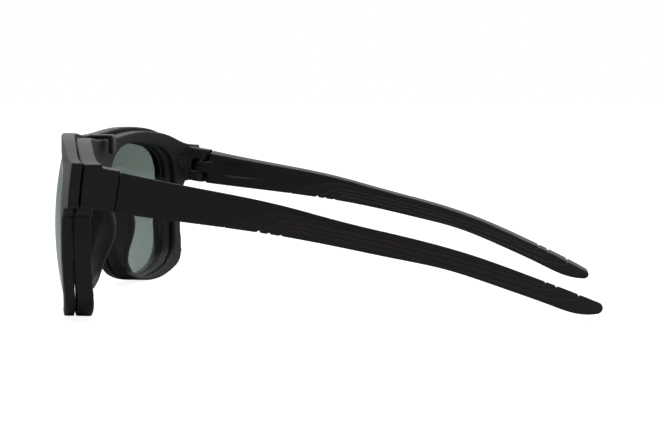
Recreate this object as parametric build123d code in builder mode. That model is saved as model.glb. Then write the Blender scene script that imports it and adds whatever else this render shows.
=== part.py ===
"""Full-rim sport spectacles with a magnetic clip-on sun front.

Row frame, millimetres: X = 0 is the mirror plane and +X is the wearer's left, the front faces -Y,
the temples run back along +Y, and Z is up. Z = 0 is the level of the lowest lens edge.
"""

import os
from math import asin, cos, degrees, radians, sin

from build123d import *

# ---- driving dimensions -------------------------------------------------------------------
WRAP_CENTRE = Vector(0, 141.5, 22.0)  # common centre of the wrapped front's spherical faces
FRAME_REAR_R = 153.3
FRAME_FRONT_R = 157.6
CLIP_REAR_R = 158.2
CLIP_FRONT_R = 160.9
HALF_WIDTH = 70.6  # mirror plane to the flat outer face of an end piece
RIM_SIDE_X = 62.6  # mirror plane to the temporal wall of the rim below the end piece
CLIP_BROW_RISE = 1.5  # how far the clip's brow stands above the frame's brow
CLIP_UPRIGHT_Z = 44.5  # above this height the clip's front face stands upright

LENS_GROOVE_REAR_R = 154.6
LENS_GROOVE_FRONT_R = 156.5
LENS_GROOVE_DEPTH = 0.7
FIT_GAP = 0.05  # clearance all round a lens, magnet, plug or core in its seat

CLIP_LENS_R = 95.0
CLIP_LENS_THICKNESS = 1.5
CLIP_LENS_BULGE = 0.75  # how far the middle of a clip lens stands proud of the clip's front face
CLIP_LENS_AXIS = (36.0, 28.0)  # X and Z where that lens's optical axis crosses the front
CLIP_LIP = 0.4  # how far the clip's rear lip reaches inside the frame's lens opening
CLIP_SEAT = 0.4  # how far the clip lens reaches outside it

HINGE_POINT = Vector(67.0, 8.1, 36.7)
HINGE_TILT = 9.5  # degrees the hinge pin leans back, square to the temple's slope
HINGE_TOP = 6.5
HINGE_BOTTOM = -5.2
SLOT_TOP = 2.7
SLOT_BOTTOM = -1.6
LUG_R = 2.1
SLOT_R = 3.0  # depth of the slot ahead of the pin
SLOT_SIDE_GAP = 0.15
SEAM = 2.95  # end piece's rear face, measured from the pin along the temple
SEAM_GAP = 0.25
LIP_WIDTH = 1.1  # of the lip that closes the seam from inside
LIP_GAP = 0.12
TONGUE_GAP = 0.1
SCREW_R = 0.7
SCREW_GAP = 0.05
SCREW_HEAD_R = 1.15
SCREW_HEAD_HEIGHT = 0.9

MAGNET_XZ = (62.5, 38.9)
MAGNET_R = 1.9
FRAME_MAGNET_LENGTH = 2.0
CLIP_MAGNET_LENGTH = 1.5
PLUG_R = 2.05
PLUG_LENGTH = 0.9
MOUTH_CUT = 0.5  # how far a magnet pocket is cut beyond the face it opens in

TEMPLE_OUTER_X = 70.5
TEMPLE_BEND_Y = 60.0  # where the temple starts to curve in towards the head
TEMPLE_REACH_Y = 147.0
TEMPLE_TIP_INSET = 28.4  # how far the outer face has come in at TEMPLE_REACH_Y
TEMPLE_THICKNESS = 3.9
TIP_THICKNESS = 5.4
ROOT_THICKNESS = 5.4
RECESS_FLOOR_X = 66.3  # floor of the recess in the temple's inner face
RECESS_CORNER_R = 1.2

HOOK_HALF_WIDTH = 2.5
HOOK_LEG_FRONT_Y = -8.05
HOOK_LEG_REAR_Y = -6.6
HOOK_TOP_Z = 50.3
HOOK_UNDERSIDE_Z = 48.9
HOOK_FOOT_Z = 44.3

OUTLINE_STEPS = 40  # points that a lens outline is drawn through
SHELL_SWEEP = 62.0  # degrees of wrap, side to side, that the front is cut from
SHELL_TILT = 14.0  # degrees of it above and below the centre
FAR = 70.0  # longer than anything it has to cut through

HINGE_AXIS = Vector(0, sin(radians(HINGE_TILT)), cos(radians(HINGE_TILT)))
HINGE_PLANE = Plane(origin=HINGE_POINT, x_dir=(1, 0, 0), z_dir=HINGE_AXIS)
END_WALL = HALF_WIDTH - HINGE_POINT.X  # outer face of the end piece in the hinge plane


BEHIND = Plane.XZ.offset(-FAR / 2)  # the outlines of the front are drawn here, behind it


# ---- shared shapes ------------------------------------------------------------------------
def radial_plane(x, z, radius):
    """A plane touching the wrap sphere of this radius at X, Z, facing away from its centre."""
    depth = (radius**2 - x**2 - (z - WRAP_CENTRE.Z) ** 2) ** 0.5
    point = Vector(x, WRAP_CENTRE.Y - depth, z)
    return Plane(origin=point, z_dir=point - WRAP_CENTRE)


def shell(rear_radius, front_radius, upright_z=None):
    """The space between two of the wrap spheres, over the whole width and height of the front.

    Above upright_z, if it is given, the front face goes straight up instead of leaning back.
    """
    start = Vector(0, -1, 0).rotate(Axis.Z, -SHELL_SWEEP / 2)
    sector = Plane(origin=WRAP_CENTRE, x_dir=start, z_dir=start.cross(Vector(0, 0, 1)))
    with BuildPart() as band:
        with BuildSketch(sector):
            with BuildLine():
                inner = CenterArc((0, 0), rear_radius, -SHELL_TILT, 2 * SHELL_TILT)
                if upright_z is None:
                    outer = CenterArc((0, 0), front_radius, -SHELL_TILT, 2 * SHELL_TILT)
                    Line(outer @ 1, inner @ 1)
                else:
                    lean = degrees(asin((upright_z - WRAP_CENTRE.Z) / front_radius))
                    outer = CenterArc((0, 0), front_radius, -SHELL_TILT, SHELL_TILT + lean)
                    Polyline(outer @ 1, ((outer @ 1).X, (inner @ 1).Y), inner @ 1)
                Line(outer @ 0, inner @ 0)
            make_face()
        revolve(axis=Axis(WRAP_CENTRE, (0, 0, 1)), revolution_arc=SHELL_SWEEP)
    return band.part


def front_outline(brow_rise):
    """The front seen from the wearer's side, as a closed face."""
    end_top = (HALF_WIDTH, 44.4 + 0.25 * brow_rise)
    with BuildSketch(BEHIND) as outline:
        with BuildLine():
            Spline(
                (0, 48.6 + brow_rise),
                (14, 49.1 + brow_rise),
                (30, 50.2 + brow_rise),
                (45, 49.7 + brow_rise),
                (56, 47.5 + brow_rise),
                (64.5, 45.0 + 0.5 * brow_rise),
                end_top,
                tangents=[(1, 0), (1, -0.12)],
            )
            Line(end_top, (HALF_WIDTH, 32.3))
            Line((HALF_WIDTH, 32.3), (RIM_SIDE_X + 2.4, 31.6))
            RadiusArc((RIM_SIDE_X + 2.4, 31.6), (RIM_SIDE_X, 29.0), 2.8)
            Line((RIM_SIDE_X, 29.0), (RIM_SIDE_X - 0.2, 9.0))
            bend = TangentArc((RIM_SIDE_X - 0.2, 9.0), (57.9, 2.0), tangent=(0, -1))
            for corner in [(40.5, -1.1), (27.5, 1.6), (17.6, 11.6)]:
                bend = TangentArc(bend @ 1, corner, tangent=bend % 1)
            bend = Line(bend @ 1, (11.0, 28.4))
            for corner in [(8.4, 33.6), (0, 38.2)]:
                bend = TangentArc(bend @ 1, corner, tangent=bend % 1)
            mirror(about=Plane.YZ)
        make_face()
    return outline.sketch


def lens_opening(side, growth=0.0):
    """One lens opening as a closed face; side is 1 for the wearer's left, -1 for the right."""
    corners = [
        (11.2, 39.0),
        (14.6, 43.6),
        (21.0, 46.0),
        (30.5, 46.9),
        (43.0, 45.8),
        (52.6, 43.3),
        (58.2, 38.6),
        (60.0, 32.0),
        (59.2, 17.0),
        (58.0, 8.3),
        (54.6, 4.2),
        (47.5, 1.5),
        (38.0, 0.5),
        (30.2, 2.4),
        (24.6, 7.2),
        (17.2, 18.4),
        (12.4, 29.5),
    ]
    edge = Edge.make_spline([Vector(side * x, z) for x, z in corners], periodic=True)
    steps = [i / OUTLINE_STEPS for i in range(OUTLINE_STEPS)]
    outward = [(edge % t).cross(Vector(0, 0, side)) for t in steps]
    with BuildSketch(BEHIND) as opening:
        with BuildLine():
            Spline(*[(edge @ t) - growth * away for t, away in zip(steps, outward)], periodic=True)
        make_face()
    return opening.sketch


def nose_pad():
    """The wearer's left moulded nose pad: a flange that stands back from the rim's nasal wall."""
    # height, front end inside the rim, rear edge that touches the nose, foot beside the lens
    sections = [
        (36.5, (8.4, -13.8), (9.8, -11.9), (12.6, -13.4)),
        (32.0, (9.8, -13.8), (10.2, -7.6), (13.2, -12.0)),
        (27.0, (12.0, -13.6), (11.4, -4.6), (15.0, -11.6)),
        (22.0, (13.9, -13.3), (12.3, -3.3), (16.6, -11.2)),
        (15.5, (16.6, -12.8), (14.4, -4.6), (20.2, -10.6)),
        (9.0, (21.0, -12.0), (17.0, -6.8), (24.6, -9.8)),
        (5.0, (24.8, -11.4), (22.4, -7.3), (28.0, -9.2)),
        (2.0, (28.2, -11.0), (28.0, -9.4), (30.8, -10.7)),
    ]
    with BuildPart() as pad:
        for height, front, tip, foot in sections:
            reach = tip[1] - front[1]
            nose_side = (tip[0] - 0.8, tip[1] - min(1.3, 0.35 * reach))
            lens_side = (tip[0] + 1.9, tip[1] - min(1.4, 0.4 * reach))
            with BuildSketch(Plane.XY.offset(height)):
                with BuildLine():
                    Line(front, nose_side)
                    ThreePointArc(nose_side, (tip[0] + 0.4, tip[1]), lens_side)
                    Line(lens_side, foot)
                    Line(foot, front)
                make_face()
        loft()
    return pad.part


def end_piece():
    """The wearer's left end piece: a block with two lugs that hold the hinge screw."""
    with BuildPart() as block:
        with BuildSketch(HINGE_PLANE.offset(HINGE_BOTTOM)):
            with BuildLine():
                Polyline((-LUG_R, 0), (-LUG_R, -5.5), (END_WALL, -9.0), (END_WALL, SEAM))
                Polyline((END_WALL, SEAM), (LUG_R + 0.3, SEAM), (LUG_R + 0.3, LUG_R), (0, LUG_R))
                RadiusArc((0, LUG_R), (-LUG_R, 0), -LUG_R)
            make_face()
        extrude(amount=HINGE_TOP - HINGE_BOTTOM)
        with BuildSketch(HINGE_PLANE.offset(SLOT_BOTTOM)):
            with Locations((LUG_R + SLOT_SIDE_GAP, -SLOT_R)):
                Rectangle(FAR / 6, FAR / 6, align=(Align.MAX, Align.MIN))
        extrude(amount=SLOT_TOP - SLOT_BOTTOM, mode=Mode.SUBTRACT)
    return block.part


def screw_seat():
    """The hole for a hinge screw, with the recess for its head underneath."""
    with BuildPart() as hole:
        with BuildSketch(HINGE_PLANE.offset(HINGE_BOTTOM - 1)):
            Circle(SCREW_R + SCREW_GAP)
        extrude(amount=HINGE_TOP - HINGE_BOTTOM)
        with BuildSketch(HINGE_PLANE.offset(HINGE_BOTTOM - 1)):
            Circle(SCREW_HEAD_R + SCREW_GAP)
        extrude(amount=1 + SCREW_HEAD_HEIGHT + SCREW_GAP)
    return hole.part


def hinge_screw():
    with BuildPart() as screw:
        with BuildSketch(HINGE_PLANE.offset(HINGE_BOTTOM)):
            Circle(SCREW_R)
        extrude(amount=HINGE_TOP - HINGE_BOTTOM - 1.3)
        with BuildSketch(HINGE_PLANE.offset(HINGE_BOTTOM)):
            Circle(SCREW_HEAD_R)
        extrude(amount=SCREW_HEAD_HEIGHT)
        with BuildSketch(HINGE_PLANE.offset(HINGE_BOTTOM)):
            Rectangle(2 * SCREW_HEAD_R + 1, 0.35)
        extrude(amount=0.35, mode=Mode.SUBTRACT)
    return screw.part


def disc(plane, radius, length):
    """A round plug or magnet that starts on a plane and goes against its normal."""
    with BuildPart() as plug:
        with BuildSketch(plane):
            Circle(radius)
        extrude(amount=-length)
    return plug.part


# ---- front frame --------------------------------------------------------------------------
def facing_back(plane):
    """The same plane, facing the wearer."""
    return Plane(origin=plane.origin, z_dir=-plane.z_dir)


FRAME_MAGNET_PLANE = facing_back(radial_plane(*MAGNET_XZ, FRAME_REAR_R))
CLIP_MAGNET_PLANE = facing_back(radial_plane(*MAGNET_XZ, CLIP_REAR_R))
FRAME_POCKET_DEPTH = PLUG_LENGTH + FRAME_MAGNET_LENGTH + 2 * FIT_GAP
FRONT_SHELL = shell(FRAME_REAR_R, FRAME_FRONT_R)
GROOVE_SHELL = shell(LENS_GROOVE_REAR_R, LENS_GROOVE_FRONT_R)


def both_sides(solid):
    """A left-hand solid and its mirror image."""
    return [solid, mirror(solid, about=Plane.YZ)]


def prism(face, zone=None):
    """An outline drawn forwards through the whole front, kept only inside a zone."""
    with BuildPart() as block:
        extrude(face, amount=FAR, dir=(0, -1, 0))
        if zone:
            add(zone, mode=Mode.INTERSECT)
    return block.part


def make_front_frame():
    outline = prism(front_outline(0.0), FRONT_SHELL)
    openings = [prism(lens_opening(side)) for side in (1, -1)]
    grooves = [prism(lens_opening(side, LENS_GROOVE_DEPTH), GROOVE_SHELL) for side in (1, -1)]
    ends = both_sides(end_piece())
    pads = both_sides(nose_pad())
    ahead = shell(FRAME_FRONT_R, FRAME_FRONT_R + FAR / 4)
    screw_seats = both_sides(screw_seat())
    mouth = FRAME_MAGNET_PLANE.offset(MOUTH_CUT)
    pockets = both_sides(disc(mouth, PLUG_R + FIT_GAP, FRAME_POCKET_DEPTH + MOUTH_CUT))
    with BuildPart() as front_frame:
        add(outline)
        add(ends)
        add(ahead, mode=Mode.SUBTRACT)
        add(pads)
        add(openings, mode=Mode.SUBTRACT)
        add(grooves, mode=Mode.SUBTRACT)
        add(pockets, mode=Mode.SUBTRACT)
        add(screw_seats, mode=Mode.SUBTRACT)
    return front_frame.part


def make_clear_lens(side):
    seat = shell(LENS_GROOVE_REAR_R + FIT_GAP, LENS_GROOVE_FRONT_R - FIT_GAP)
    return prism(lens_opening(side, LENS_GROOVE_DEPTH - FIT_GAP), seat)


# ---- clip-on front ------------------------------------------------------------------------
def clip_lens_body(front_growth, rear_growth):
    """The space of one left clip lens, between its two spherical faces."""
    apex = radial_plane(*CLIP_LENS_AXIS, CLIP_FRONT_R)
    centre = apex.origin - apex.z_dir * (CLIP_LENS_R - CLIP_LENS_BULGE)
    with BuildPart() as body:
        with Locations(centre):
            Sphere(CLIP_LENS_R + front_growth)
            Sphere(CLIP_LENS_R - CLIP_LENS_THICKNESS - rear_growth, mode=Mode.SUBTRACT)
        Box(4 * FAR, FAR, 4 * FAR, mode=Mode.INTERSECT)
    return body.part


def make_clip_lens():
    return prism(lens_opening(1, CLIP_SEAT - FIT_GAP), clip_lens_body(0, 0))


def bridge_hook():
    """The tongue that runs back over the frame's bridge and turns down behind it."""
    with BuildPart() as hook:
        with BuildSketch(Plane.YZ.offset(-HOOK_HALF_WIDTH)):
            with BuildLine():
                Polyline(
                    (-17.0, HOOK_TOP_Z - 1.0),
                    (-14.0, HOOK_TOP_Z),
                    (HOOK_LEG_REAR_Y, HOOK_TOP_Z),
                    (HOOK_LEG_REAR_Y, HOOK_FOOT_Z),
                    (HOOK_LEG_FRONT_Y, HOOK_FOOT_Z),
                    (HOOK_LEG_FRONT_Y, HOOK_UNDERSIDE_Z),
                    (-14.9, HOOK_UNDERSIDE_Z),
                    (-16.4, HOOK_UNDERSIDE_Z - 2.0),
                    (-17.0, HOOK_TOP_Z - 1.0),
                )
            make_face()
        extrude(amount=2 * HOOK_HALF_WIDTH)
        corner = hook.edges().filter_by(Axis.X).group_by(Axis.Y)[-1].sort_by(Axis.Z)
        fillet(corner[-1], 0.9)
    return hook.part


def make_clip_frame():
    rim = shell(CLIP_REAR_R, CLIP_FRONT_R, CLIP_UPRIGHT_Z)
    outline = prism(front_outline(CLIP_BROW_RISE), rim)
    openings = [prism(lens_opening(side, -CLIP_LIP)) for side in (1, -1)]
    seats = both_sides(prism(lens_opening(1, CLIP_SEAT), clip_lens_body(FAR / 10, FIT_GAP)))
    hook = bridge_hook()
    mouth = CLIP_MAGNET_PLANE.offset(MOUTH_CUT)
    pocket = disc(mouth, MAGNET_R + FIT_GAP, CLIP_MAGNET_LENGTH + FIT_GAP + MOUTH_CUT)
    pockets = both_sides(pocket)
    with BuildPart() as clip_frame:
        add(outline)
        add(hook)
        add(openings, mode=Mode.SUBTRACT)
        add(seats, mode=Mode.SUBTRACT)
        add(pockets, mode=Mode.SUBTRACT)
    return clip_frame.part


# ---- temples ------------------------------------------------------------------------------
TOP_EDGE = [(12.3, 42.3), (34.3, 38.0), (57.5, 33.4), (72.6, 29.4), (94.0, 24.0), (108.0, 19.7)]
TOP_EDGE += [(128.6, 11.4), (138.0, 7.3), (144.0, 4.4)]
BOTTOM_EDGE = [(10.4, 31.1), (34.2, 28.2), (56.0, 25.3), (72.5, 22.3), (87.0, 19.2), (100.0, 16.2)]
BOTTOM_EDGE += [(116.5, 10.3), (130.0, 4.8), (137.0, 2.1), (143.4, 1.5)]
SLEEVE_EDGE = [(40.6, 27.4), (46.0, 29.6), (50.8, 30.8), (57.0, 31.4), (63.0, 30.4), (84.0, 26.6)]


def temple_side_face():
    """A temple seen from its side, on the YZ plane."""
    with BuildSketch(Plane.YZ) as side:
        with BuildLine():
            top = Spline(*TOP_EDGE)
            bottom = Spline(*BOTTOM_EDGE)
            TangentArc(bottom @ 1, top @ 1, tangent=bottom % 1)
            Line(top @ 0, bottom @ 0)
        make_face()
    return side.sketch


def temple_band(outset, inset):
    """The temple's plan shape grown outwards and inwards, as a tall block."""
    start_y = TEMPLE_BEND_Y - FAR
    outer_x = TEMPLE_OUTER_X + outset
    inner_x = TEMPLE_OUTER_X - TEMPLE_THICKNESS - inset
    root_x = TEMPLE_OUTER_X - ROOT_THICKNESS - inset
    half_way = (TEMPLE_BEND_Y + TEMPLE_REACH_Y) / 2
    tip_outer = (outer_x - TEMPLE_TIP_INSET, TEMPLE_REACH_Y)
    tip_inner = (TEMPLE_OUTER_X - TEMPLE_TIP_INSET - TIP_THICKNESS - inset, TEMPLE_REACH_Y)
    with BuildPart() as band:
        with BuildSketch(Plane.XY.offset(-FAR / 4)):
            with BuildLine():
                Line((outer_x, start_y), (outer_x, TEMPLE_BEND_Y))
                Bezier((outer_x, TEMPLE_BEND_Y), (outer_x, half_way), tip_outer)
                Line(tip_outer, tip_inner)
                Bezier((inner_x, TEMPLE_BEND_Y), (inner_x, half_way), tip_inner)
                Bezier((root_x, 12.0), (inner_x, 32.0), (inner_x, 46.0), (inner_x, TEMPLE_BEND_Y))
                Polyline((root_x, 12.0), (root_x, start_y), (outer_x, start_y))
            make_face()
        extrude(amount=FAR)
    return band.part


def side_prism(face):
    """A side view of the temple drawn through its whole thickness."""
    with BuildPart() as block:
        extrude(face, amount=FAR + 20, dir=(1, 0, 0))
    return block.part


def temple_blank():
    """The whole temple, arm and sleeve together."""
    side = side_prism(temple_side_face())
    band = temple_band(0, 0)
    seam = Plane(origin=HINGE_PLANE.origin, x_dir=(1, 0, 0), z_dir=HINGE_PLANE.y_dir)
    with BuildPart() as blank:
        add(side)
        add(band, mode=Mode.INTERSECT)
        split(bisect_by=seam.offset(SEAM + SEAM_GAP), keep=Keep.TOP)
    return blank.part


def sleeve_zone(gap):
    """Side view of everything the soft sleeve covers, its edge moved back by a gap."""
    with BuildSketch(Plane.YZ) as zone:
        with BuildLine():
            edge = Spline(*[(y + gap, z - gap) for y, z in SLEEVE_EDGE])
            Polyline(edge @ 1, (90.0, 40.0), (170.0, 40.0), (170.0, -20.0), (38.0, -20.0), edge @ 0)
        make_face()
    return side_prism(zone.sketch)


def core(gap):
    """The thin stem of the arm that runs inside the sleeve."""
    with BuildSketch(Plane.YZ) as side:
        with BuildLine():
            upper = Spline((44.0, 30.2 + gap), (84.0, 23.4 + gap), (116.0 + gap, 13.8 + gap))
            lower = Spline((44.0, 27.8 - gap), (84.0, 21.4 - gap), (116.0 + gap, 12.2 - gap))
            Line(upper @ 0, lower @ 0)
            Line(upper @ 1, lower @ 1)
        make_face()
    band = temple_band(-1.4 + gap, -1.2 + gap)
    with BuildPart() as stem:
        add(side_prism(side.sketch))
        add(band, mode=Mode.INTERSECT)
    return stem.part


def tongue():
    """The temple's hinge knuckle, which turns between the end piece's two lugs."""
    with BuildPart() as knuckle:
        with BuildSketch(HINGE_PLANE.offset(SLOT_BOTTOM + TONGUE_GAP)):
            Circle(LUG_R)
            Rectangle(2 * LUG_R, SEAM + 1.2, align=(Align.CENTER, Align.MIN))
        extrude(amount=SLOT_TOP - SLOT_BOTTOM - 2 * TONGUE_GAP)
        with BuildSketch(HINGE_PLANE.offset(SLOT_BOTTOM)):
            Circle(SCREW_R + SCREW_GAP)
        extrude(amount=SLOT_TOP - SLOT_BOTTOM, mode=Mode.SUBTRACT)
    return knuckle.part


def seam_lip():
    """A lip on the temple's front end that closes the seam behind the end piece's outer wall."""
    reach = SEAM + SEAM_GAP + LIP_GAP - LUG_R
    with BuildPart() as lip:
        with BuildSketch(HINGE_PLANE.offset(HINGE_BOTTOM + 1)):
            with Locations((LUG_R + 0.3 - LIP_GAP, LUG_R + LIP_GAP)):
                Rectangle(LIP_WIDTH, reach, align=(Align.MAX, Align.MIN))
        extrude(amount=HINGE_TOP - HINGE_BOTTOM - 2)
    return lip.part


def inner_recess():
    """The recess in the temple's inner face, which runs out where the temple has thinned."""
    with BuildPart() as recess:
        with BuildSketch(Plane.YZ.offset(RECESS_FLOOR_X)) as outline:
            with BuildLine():
                Polyline((16.8, 33.6), (16.8, 39.4), (48.0, 33.6), (48.0, 30.0), close=True)
            make_face()
            fillet(outline.vertices(), RECESS_CORNER_R)
        extrude(amount=-FAR / 10)
    return recess.part


def make_temple():
    blank = temple_blank()
    zone = sleeve_zone(0)
    stem = core(0)
    knuckle = tongue()
    lip = seam_lip()
    recess = inner_recess()
    with BuildPart() as temple:
        add(blank)
        add(zone, mode=Mode.SUBTRACT)
        add(recess, mode=Mode.SUBTRACT)
        add(stem)
        add(knuckle)
        add(lip)
    return temple.part


GROOVE_WIDTH = 0.7
GROOVE_DEPTH = 0.4
NOTCH_R = 0.45  # of the notch where a groove runs out over an edge
BOTTOM_NOTCH_SHARE = 0.12  # where a groove's first stretch crosses the bottom edge
TOP_NOTCH_SHARE = 0.6  # where its last stretch crosses the top edge
# each groove: bottom-edge notch, bend, run along the temple, bend, top-edge notch
GROOVES = [
    [(49.3, 25.8), (57.4, 29.7), (92.0, 22.3), (126.3, 11.1), (127.9, 10.6), (129.0, 12.2)],
    [(52.4, 25.3), (58.1, 28.3), (92.0, 20.9), (126.7, 9.8), (131.0, 9.2), (132.0, 10.8)],
    [(55.9, 24.8), (59.3, 27.0), (92.0, 19.4), (130.1, 6.7), (137.1, 6.1), (138.6, 8.2)],
]


def groove_faces():
    """Side view of the three decorative grooves of a sleeve."""
    with BuildSketch(Plane.YZ) as grooves:
        for notch, bend, middle, end, turn, top in GROOVES:
            with BuildLine():
                Line(notch, bend)
                Spline(bend, middle, end)
                Polyline(end, turn, top)
            trace(line_width=GROOVE_WIDTH)
    return grooves.sketch


def between(start, end, share):
    """The point this share of the way from one point to another."""
    return Vector(*start) + (Vector(*end) - Vector(*start)) * share


def edge_notches():
    """Side view of the notches that the grooves leave in the sleeve's two edges."""
    with BuildSketch(Plane.YZ) as notches:
        for notch, bend, _, _, turn, top in GROOVES:
            bottom_crossing = between(notch, bend, BOTTOM_NOTCH_SHARE)
            with Locations(bottom_crossing, between(turn, top, TOP_NOTCH_SHARE)):
                Circle(NOTCH_R)
    return notches.sketch


def make_sleeve():
    blank = temple_blank()
    zone = sleeve_zone(FIT_GAP)
    pocket = core(FIT_GAP)
    heart = temple_band(-GROOVE_DEPTH, -GROOVE_DEPTH)
    lines = side_prism(groove_faces())
    notches = side_prism(edge_notches())
    with BuildPart() as cutter:
        add(lines)
        add(heart, mode=Mode.SUBTRACT)
        add(notches)
    with BuildPart() as sleeve:
        add(blank)
        add(zone, mode=Mode.INTERSECT)
        add(pocket, mode=Mode.SUBTRACT)
        add(cutter.part, mode=Mode.SUBTRACT)
    return sleeve.part


# ---- write every piece --------------------------------------------------------------------
def write(solid, name):
    solid.label = name
    export_step(solid, f"parts/{name}.step")


def write_pair(solid, name):
    """Write the wearer's left piece and its mirror image."""
    write(solid, f"left_{name}")
    write(mirror(solid, about=Plane.YZ), f"right_{name}")


if __name__ == "__main__":
    os.makedirs("parts", exist_ok=True)
    write(make_front_frame(), "front_frame")
    write(make_clip_frame(), "clip_frame")
    write_pair(make_clear_lens(1), "clear_lens")
    write_pair(make_clip_lens(), "clip_lens")
    write_pair(make_temple(), "temple")
    write_pair(make_sleeve(), "temple_sleeve")
    write_pair(hinge_screw(), "hinge_screw")
    write_pair(disc(FRAME_MAGNET_PLANE, PLUG_R, PLUG_LENGTH), "magnet_plug")
    behind_plug = FRAME_MAGNET_PLANE.offset(-PLUG_LENGTH - FIT_GAP)
    write_pair(disc(behind_plug, MAGNET_R, FRAME_MAGNET_LENGTH), "frame_magnet")
    write_pair(disc(CLIP_MAGNET_PLANE, MAGNET_R, CLIP_MAGNET_LENGTH), "clip_magnet")
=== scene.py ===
import math

import bpy
import numpy as np
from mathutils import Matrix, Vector


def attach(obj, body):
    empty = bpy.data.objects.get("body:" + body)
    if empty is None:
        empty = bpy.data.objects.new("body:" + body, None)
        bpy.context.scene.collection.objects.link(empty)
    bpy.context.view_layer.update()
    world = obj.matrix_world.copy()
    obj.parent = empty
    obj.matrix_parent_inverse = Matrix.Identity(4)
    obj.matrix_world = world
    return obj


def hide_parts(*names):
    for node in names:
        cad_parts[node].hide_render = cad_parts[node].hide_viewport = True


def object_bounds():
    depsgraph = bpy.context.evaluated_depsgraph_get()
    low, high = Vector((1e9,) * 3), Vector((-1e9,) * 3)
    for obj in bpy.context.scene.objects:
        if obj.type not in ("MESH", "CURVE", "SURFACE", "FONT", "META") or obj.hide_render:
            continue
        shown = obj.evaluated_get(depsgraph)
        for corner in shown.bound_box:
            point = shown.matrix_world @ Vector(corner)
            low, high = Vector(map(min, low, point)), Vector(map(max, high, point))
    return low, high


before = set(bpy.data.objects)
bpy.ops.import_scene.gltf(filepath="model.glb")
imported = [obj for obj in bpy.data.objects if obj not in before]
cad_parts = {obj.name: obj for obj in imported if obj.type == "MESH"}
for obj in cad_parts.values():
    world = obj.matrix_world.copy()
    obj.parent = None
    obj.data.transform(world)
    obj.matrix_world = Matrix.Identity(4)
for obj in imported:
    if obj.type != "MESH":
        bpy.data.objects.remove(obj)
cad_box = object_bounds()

MM = 0.001

# ---- moulded skins: voxel size, rounds of easing, growth ---------------------------------------
FRONT_SKIN = (0.30 * MM, 3, 0.04 * MM)
CLIP_SKIN = (0.28 * MM, 3, 0.04 * MM)
TEMPLE_SKIN = (0.22 * MM, 3, 0.05 * MM)
SLEEVE_SKIN = (0.19 * MM, 2, 0.09 * MM)

# ---- temple plan -------------------------------------------------------------------------------
TEMPLE_OUTER_X = 70.5 * MM
TEMPLE_THICKNESS = 3.9 * MM
TEMPLE_BEND_Y = 60.0 * MM
TEMPLE_REACH_Y = 147.0 * MM
OUTER_INSET = 28.4 * MM
INNER_INSET = 29.9 * MM
TOP_SLOPE = 0.14  # fall of the temples' top face across their thickness
CURVE_STATIONS = 60

# ---- sleeve grooves: where a point starts and ends to count as a groove's floor -------------------
GROOVE_DEPTH = 0.4 * MM
FLOOR_BEGINS = (0.45 * GROOVE_DEPTH, 0.80 * GROOVE_DEPTH)
FLOOR_ENDS = (1.6 * GROOVE_DEPTH, 1.4 * GROOVE_DEPTH)
SIDEWAYS_NORMAL = (0.55, 0.80)

# ---- materials -----------------------------------------------------------------------------------
CLOUD_PER_METRE = 60.0
EDGE_HIGHLIGHT_POINTINESS = {"start": 0.52, "end": 0.62}  # pointiness of an edge, from no painted highlight to the full painted highlight
# how much and how pale the painted highlight along sharp edges is
EDGE_HIGHLIGHT_SHARE = 0.5
EDGE_HIGHLIGHT_PALENESS = 2.2
GRAIN_SHARE = 0.35
GRAIN_SHADE = 0.6
RUBBER_BLACK = ((0.0150, 0.0148, 0.0178, 1), (0.010, 0.010, 0.012, 1))
RUBBER_BROWN = ((0.125, 0.074, 0.058, 1), (0.082, 0.052, 0.044, 1))
LENS_TOP = 48 * MM
GLANCE_POWER = 5.0  # how late the mirroring of a lens rises towards a glancing view
WHITE = (1, 1, 1, 1)

# ---- studio --------------------------------------------------------------------------------------
CAMERA_PLACE = (0.5053, 0.1176, 0.0671)
CAMERA_AZIMUTH = 96.18
CAMERA_ELEVATION = 4.74
CAMERA_FOCAL_MM = 87.9
CAMERA_SHIFT_Y = 0.0075
CAMERA_CLIP_START = 0.01
FLOOR_REACH = 6.0
FLOOR_GLOW = 0.90
FLOOR_GREY = (0.35, 0.35, 0.35, 1)
BEHIND_GLOW = {"low": 0.10, "high": 0.85, "start": 0.35, "end": -0.75}
OVERHEAD_GLOW = {"low": 0.0, "high": 0.6, "start": 0.2, "end": 1.0}
SOFTBOX_OFFSET = Vector((-0.05, 0, 0.6))
SOFTBOX_SIZE = (0.6, 0.5)
SOFTBOX_WATTS = 2.0


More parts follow.
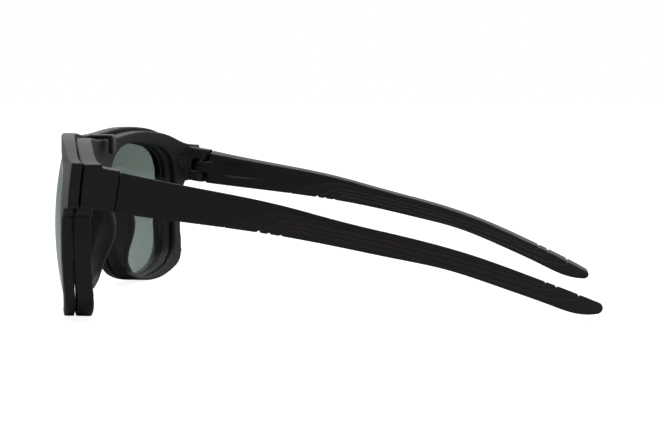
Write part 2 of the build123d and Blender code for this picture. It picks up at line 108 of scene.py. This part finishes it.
# ---- node helpers --------------------------------------------------------------------------------
class Nodes:
    """A short way to write a node tree."""

    def __init__(self, tree):
        self.tree = tree
        tree.nodes.clear()

    def add(self, kind, inputs=None, **settings):
        node = self.tree.nodes.new(kind)
        for name, value in settings.items():
            setattr(node, name, value)
        for name, value in (inputs or {}).items():
            if isinstance(value, bpy.types.NodeSocket):
                self.tree.links.new(value, node.inputs[name])
            else:
                node.inputs[name].default_value = value
        return node

    def math(self, operation, a, b, clamp=False):
        node = self.add("ShaderNodeMath", {0: a, 1: b}, operation=operation, use_clamp=clamp)
        return node.outputs[0]

    def mix(self, factor, a, b):
        node = self.add("ShaderNodeMix", {0: factor, 6: a, 7: b}, data_type="RGBA")
        return node.outputs[2]

    def place(self):
        return self.add("ShaderNodeTexCoord").outputs["Object"]

    def noise(self, vector, per_metre, detail=2.0):
        values = {"Vector": vector, "Scale": per_metre, "Detail": detail}
        return self.add("ShaderNodeTexNoise", values).outputs["Fac"]

    def spread(self, value, low=0.0, high=1.0, start=0.0, end=1.0, smooth=False):
        """Low at start, high at end, and level beyond them."""
        values = {"Value": value, "From Min": start, "From Max": end, "To Min": low, "To Max": high}
        curve = "SMOOTHSTEP" if smooth else "LINEAR"
        return self.add("ShaderNodeMapRange", values, interpolation_type=curve).outputs["Result"]

    def bump(self, height, strength, distance):
        values = {"Height": height, "Strength": strength, "Distance": distance}
        return self.add("ShaderNodeBump", values).outputs[0]

    def seen_by_camera(self):
        return self.add("ShaderNodeLightPath").outputs["Is Camera Ray"]

    def surface(self, shader):
        self.add("ShaderNodeOutputMaterial", {"Surface": shader.outputs[0]})


def new_material(name):
    material = bpy.data.materials.new(name)
    material.use_nodes = True
    return material, Nodes(material.node_tree)


def moulded_plastic(name, colour, roughness, grain, grain_height):
    """Matte moulded plastic: spark-eroded grain, faint cloudiness in gloss, and sharp edges painted
    paler as a painted highlight.
    """
    material, nodes = new_material(name)
    place = nodes.place()
    fine = nodes.noise(place, 1 / grain, 3.0)
    broad = nodes.noise(place, CLOUD_PER_METRE)
    pointed = nodes.add("ShaderNodeNewGeometry").outputs["Pointiness"]
    # painted highlight: the sharper an edge, the paler its colour, standing in for light caught by
    # the bevel
    edge_highlight = nodes.math("MULTIPLY", nodes.spread(pointed, **EDGE_HIGHLIGHT_POINTINESS), EDGE_HIGHLIGHT_SHARE)
    highlight_colour = (*[min(1.0, EDGE_HIGHLIGHT_PALENESS * c) for c in colour], 1)
    shade = (*[GRAIN_SHADE * c for c in colour], 1)
    base = nodes.mix(edge_highlight, (*colour, 1), highlight_colour)
    tinted = nodes.mix(nodes.math("MULTIPLY", fine, GRAIN_SHARE), base, shade)
    uneven = nodes.spread(nodes.math("MULTIPLY", fine, broad), roughness - 0.05, roughness + 0.16)
    values = {"Base Color": tinted, "Roughness": uneven, "Specular IOR Level": 0.42}
    values["Normal"] = nodes.bump(fine, 0.5, grain_height)
    nodes.surface(nodes.add("ShaderNodeBsdfPrincipled", values))
    return material


def soft_rubber():
    """The sleeves: soft-touch rubber with brown showing at the bottom of each groove."""
    material, nodes = new_material("soft_rubber")
    place = nodes.place()
    groove = nodes.add("ShaderNodeAttribute", attribute_name="groove").outputs["Fac"]
    fine = nodes.noise(place, 9000.0, 3.0)
    broad = nodes.noise(place, 80.0)
    black = nodes.mix(nodes.math("MULTIPLY", fine, 0.4), *RUBBER_BLACK)
    brown = nodes.mix(broad, *RUBBER_BROWN)
    uneven = nodes.spread(nodes.math("MULTIPLY", fine, broad), 0.50, 0.66)
    values = {"Base Color": nodes.mix(groove, black, brown), "Roughness": uneven}
    values["Normal"] = nodes.bump(fine, 0.4, 0.02 * MM)
    values.update({"Specular IOR Level": 0.40, "Sheen Weight": 0.05, "Sheen Roughness": 0.5})
    nodes.surface(nodes.add("ShaderNodeBsdfPrincipled", values))
    return material


def lens_material(name, low_tint, high_tint, reflectance, gloss_colour):
    """A lens that tints what is behind it once, where sight enters, and mirrors at a glance."""
    material, nodes = new_material(name)
    place = nodes.place()
    height = nodes.add("ShaderNodeSeparateXYZ", {"Vector": place}).outputs["Z"]
    cloud = nodes.noise(place, 45.0)
    patchy = nodes.math("MULTIPLY", cloud, 0.06)
    blend = nodes.math("ADD", nodes.spread(height, end=LENS_TOP), patchy, clamp=True)
    tint = nodes.mix(blend, (*low_tint, 1), (*high_tint, 1))
    inside = nodes.add("ShaderNodeNewGeometry").outputs["Backfacing"]
    through = nodes.add("ShaderNodeBsdfTransparent", {"Color": nodes.mix(inside, tint, WHITE)})
    facing = nodes.add("ShaderNodeLayerWeight", {"Blend": 0.5}).outputs["Facing"]
    glance = nodes.math("POWER", facing, GLANCE_POWER)
    mirror = nodes.math("ADD", nodes.math("MULTIPLY", glance, 1 - reflectance), reflectance)
    share = nodes.math("MULTIPLY", mirror, nodes.math("SUBTRACT", 1.0, inside))
    haze = nodes.spread(cloud, 0.02, 0.05)
    gloss = nodes.add("ShaderNodeBsdfGlossy", {"Color": (*gloss_colour, 1), "Roughness": haze})
    both = {0: share, 1: through.outputs[0], 2: gloss.outputs[0]}
    nodes.surface(nodes.add("ShaderNodeMixShader", both))
    return material


def metal(name, colour, roughness):
    """Turned metal with fine tool marks."""
    material, nodes = new_material(name)
    marks = nodes.noise(nodes.place(), 6000.0)
    shade = nodes.mix(marks, (*colour, 1), (*[0.7 * c for c in colour], 1))
    rough = nodes.spread(marks, roughness, roughness + 0.12)
    values = {"Base Color": shade, "Metallic": 1.0, "Roughness": rough}
    values["Normal"] = nodes.bump(marks, 0.3, 0.01 * MM)
    nodes.surface(nodes.add("ShaderNodeBsdfPrincipled", values))
    return material


FRAME_PLASTIC = moulded_plastic(
    "frame_plastic",
    colour=(0.0130, 0.0136, 0.0185),
    roughness=0.46,
    grain=0.09 * MM,
    grain_height=0.018 * MM,
)
CLIP_PLASTIC = moulded_plastic(
    "clip_plastic",
    colour=(0.0140, 0.0144, 0.0190),
    roughness=0.44,
    grain=0.09 * MM,
    grain_height=0.018 * MM,
)
TEMPLE_PLASTIC = moulded_plastic(
    "temple_plastic",
    colour=(0.0100, 0.0098, 0.0122),
    roughness=0.50,
    grain=0.08 * MM,
    grain_height=0.015 * MM,
)
PLUG_RESIN = moulded_plastic(
    "plug_resin",
    colour=(0.030, 0.022, 0.018),
    roughness=0.38,
    grain=0.25 * MM,
    grain_height=0.02 * MM,
)
RUBBER = soft_rubber()
TINTED = lens_material(
    "tinted_lens",
    low_tint=(0.118, 0.148, 0.130),
    high_tint=(0.108, 0.137, 0.120),
    reflectance=0.045,
    gloss_colour=(0.90, 0.96, 1.0),
)
CLEAR = lens_material(
    "clear_lens",
    low_tint=(0.985, 0.99, 0.985),
    high_tint=(0.98, 0.985, 0.98),
    reflectance=0.006,
    gloss_colour=(0.80, 0.92, 0.90),
)
STEEL = metal("screw_steel", (0.42, 0.42, 0.44), 0.24)
NICKEL = metal("magnet_nickel", (0.60, 0.58, 0.55), 0.30)
MATERIAL_OF_CAD_SHAPE = {
    "_clip_lens": TINTED,
    "_clear_lens": CLEAR,
    "_hinge_screw": STEEL,
    "_magnet_plug": PLUG_RESIN,
    "_frame_magnet": NICKEL,
    "_clip_magnet": NICKEL,
}


# ---- pieces --------------------------------------------------------------------------------------
def new_object(name, data):
    holder = bpy.data.objects.new(name, data)
    bpy.context.scene.collection.objects.link(holder)
    return holder


def apply_modifiers(piece):
    shown = piece.evaluated_get(bpy.context.evaluated_depsgraph_get())
    mesh = bpy.data.meshes.new_from_object(shown)
    piece.modifiers.clear()
    old = piece.data
    piece.data = mesh
    bpy.data.meshes.remove(old)


def reskin(node, skin):
    """A new skin over a CAD node, as fine as the voxel, with its edges eased.

    Easing pulls the skin in a little, and growth puts that back.
    """
    voxel, rounds, growth = skin
    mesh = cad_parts[node].data.copy()
    mesh.materials.clear()
    piece = new_object(node + "_moulding", mesh)
    remesh = piece.modifiers.new("skin", "REMESH")
    remesh.mode = "VOXEL"
    remesh.voxel_size = voxel
    remesh.use_smooth_shade = True
    ease = piece.modifiers.new("ease", "SMOOTH")
    ease.factor = 0.5
    ease.iterations = rounds
    swell = piece.modifiers.new("swell", "DISPLACE")
    swell.strength = growth
    swell.mid_level = 0.0
    apply_modifiers(piece)
    return piece


def dress(piece, node, body, material):
    piece.data.materials.append(material)
    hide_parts(node)
    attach(piece, body)


def plan_depths(points):
    """How deep each point lies under the temple's outer and inner faces, measured across."""
    across = np.abs(points[:, 0])
    bend = np.clip((points[:, 1] - TEMPLE_BEND_Y) / (TEMPLE_REACH_Y - TEMPLE_BEND_Y), 0, None) ** 2
    outer = TEMPLE_OUTER_X - OUTER_INSET * bend
    inner = TEMPLE_OUTER_X - TEMPLE_THICKNESS - INNER_INSET * bend
    return outer - across, across - inner


def points_of(mesh):
    points = np.zeros(len(mesh.vertices) * 3)
    mesh.vertices.foreach_get("co", points)
    return points.reshape(-1, 3)


def slope_top(piece, low_curve, high_curve):
    """Let the temple's top fall away towards the head, most at the top edge, not at the bottom."""
    points = points_of(piece.data)
    low = np.interp(points[:, 1], *low_curve)
    high = np.interp(points[:, 1], *high_curve)
    share = np.clip((points[:, 2] - low) / (high - low), 0, 1) ** 2
    depth = np.clip(plan_depths(points)[0], 0, None)
    points[:, 2] -= TOP_SLOPE * share * depth
    piece.data.vertices.foreach_set("co", points.ravel())
    piece.data.update()


def side_curves(nodes_of_side):
    """The lowest and the highest Z of an arm along Y, as two pairs of arrays."""
    points = np.concatenate([points_of(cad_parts[node].data) for node in nodes_of_side])
    stations = np.linspace(points[:, 1].min(), points[:, 1].max(), CURVE_STATIONS)
    step = stations[1] - stations[0]
    near = [points[np.abs(points[:, 1] - y) <= step, 2] for y in stations]
    low = np.array([z.min() if len(z) else np.nan for z in near])
    high = np.array([z.max() if len(z) else np.nan for z in near])
    known = ~np.isnan(low)
    return (stations[known], low[known]), (stations[known], high[known])


def ramp(values, start, end):
    """0 up to start and 1 from end on. Start may be the larger one."""
    return np.clip((values - start) / (end - start), 0, 1)


def mark_grooves(piece):
    """Store on each point how surely it lies on a groove's floor."""
    mesh = piece.data
    normals = np.zeros(len(mesh.vertices) * 3, np.float32)
    mesh.vertex_normals.foreach_get("vector", normals)
    sideways = np.abs(normals.reshape(-1, 3)[:, 0])
    depth = np.minimum(*plan_depths(points_of(mesh)))
    floor = ramp(depth, *FLOOR_BEGINS) * ramp(depth, *FLOOR_ENDS) * ramp(sideways, *SIDEWAYS_NORMAL)
    mark = mesh.attributes.new("groove", "FLOAT", "POINT")
    mark.data.foreach_set("value", floor.astype(np.float32))


def build_arm(side):
    body = side + "_arm"
    temple_node = side + "_temple"
    sleeve_node = side + "_temple_sleeve"
    curves = side_curves((temple_node, sleeve_node))
    temple = reskin(temple_node, TEMPLE_SKIN)
    slope_top(temple, *curves)
    dress(temple, temple_node, body, TEMPLE_PLASTIC)
    sleeve = reskin(sleeve_node, SLEEVE_SKIN)
    mark_grooves(sleeve)
    slope_top(sleeve, *curves)
    dress(sleeve, sleeve_node, body, RUBBER)


def build_pieces():
    dress(reskin("front_frame", FRONT_SKIN), "front_frame", "front", FRAME_PLASTIC)
    dress(reskin("clip_frame", CLIP_SKIN), "clip_frame", "clip", CLIP_PLASTIC)
    for side in ("left", "right"):
        build_arm(side)
        for name, material in MATERIAL_OF_CAD_SHAPE.items():
            for material_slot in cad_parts[side + name].material_slots:
                material_slot.material = material


# ---- studio --------------------------------------------------------------------------------------
def build_floor():
    """A floor that is nearly white to the eye and lights nothing."""
    mesh = bpy.data.meshes.new("floor")
    turns = ((-1, -1), (1, -1), (1, 1), (-1, 1))
    corners = [(x * FLOOR_REACH, y * FLOOR_REACH, cad_box[0].z) for x, y in turns]
    mesh.from_pydata(corners, [], [(0, 1, 2, 3)])
    material, nodes = new_material("pale_floor")
    glow = nodes.spread(nodes.seen_by_camera(), 0.0, FLOOR_GLOW)
    light = nodes.add("ShaderNodeEmission", {"Color": WHITE, "Strength": glow})
    body = nodes.add("ShaderNodeBsdfDiffuse", {"Color": FLOOR_GREY})
    nodes.surface(nodes.add("ShaderNodeAddShader", {0: light.outputs[0], 1: body.outputs[0]}))
    mesh.materials.append(material)
    new_object("floor", mesh)


def build_world():
    """White all round for the eye; for lighting, bright behind and above, dim on the eye's side."""
    world = bpy.data.worlds.new("white_room")
    bpy.context.scene.world = world
    world.use_nodes = True
    nodes = Nodes(world.node_tree)
    way = nodes.add("ShaderNodeTexCoord").outputs["Generated"]
    parts = nodes.add("ShaderNodeSeparateXYZ", {"Vector": way}).outputs
    behind = nodes.spread(parts["X"], **BEHIND_GLOW, smooth=True)
    overhead = nodes.spread(parts["Z"], **OVERHEAD_GLOW, smooth=True)
    glow = nodes.math("ADD", behind, overhead)
    by_ray = {0: nodes.seen_by_camera(), 2: glow, 3: 1.0}
    strength = nodes.add("ShaderNodeMix", by_ray, data_type="FLOAT").outputs[0]
    light = nodes.add("ShaderNodeBackground", {"Color": WHITE, "Strength": strength})
    nodes.add("ShaderNodeOutputWorld", {"Surface": light.outputs[0]})


def build_softbox():
    lamp = bpy.data.lights.new("top_softbox", "AREA")
    lamp.shape = "RECTANGLE"
    lamp.size, lamp.size_y = SOFTBOX_SIZE
    lamp.energy = SOFTBOX_WATTS
    holder = new_object("top_softbox", lamp)
    holder.location = (cad_box[0] + cad_box[1]) / 2 + SOFTBOX_OFFSET
    holder.rotation_mode = "QUATERNION"
    holder.rotation_quaternion = (-SOFTBOX_OFFSET).to_track_quat("-Z", "Y")


def build_camera():
    lens = bpy.data.cameras.new("camera")
    lens.lens = CAMERA_FOCAL_MM
    lens.shift_y = CAMERA_SHIFT_Y
    lens.clip_start = CAMERA_CLIP_START
    camera = new_object("camera", lens)
    turn = math.radians(CAMERA_AZIMUTH)
    rise = math.radians(CAMERA_ELEVATION)
    level = math.cos(rise)
    back = Vector((math.sin(turn) * level, -math.cos(turn) * level, math.sin(rise)))
    camera.location = CAMERA_PLACE
    camera.rotation_mode = "QUATERNION"
    camera.rotation_quaternion = (-back).to_track_quat("-Z", "Y")
    bpy.context.scene.camera = camera


build_pieces()
build_floor()
build_world()
build_softbox()
build_camera()
bpy.context.scene.view_settings.view_transform = "Standard"
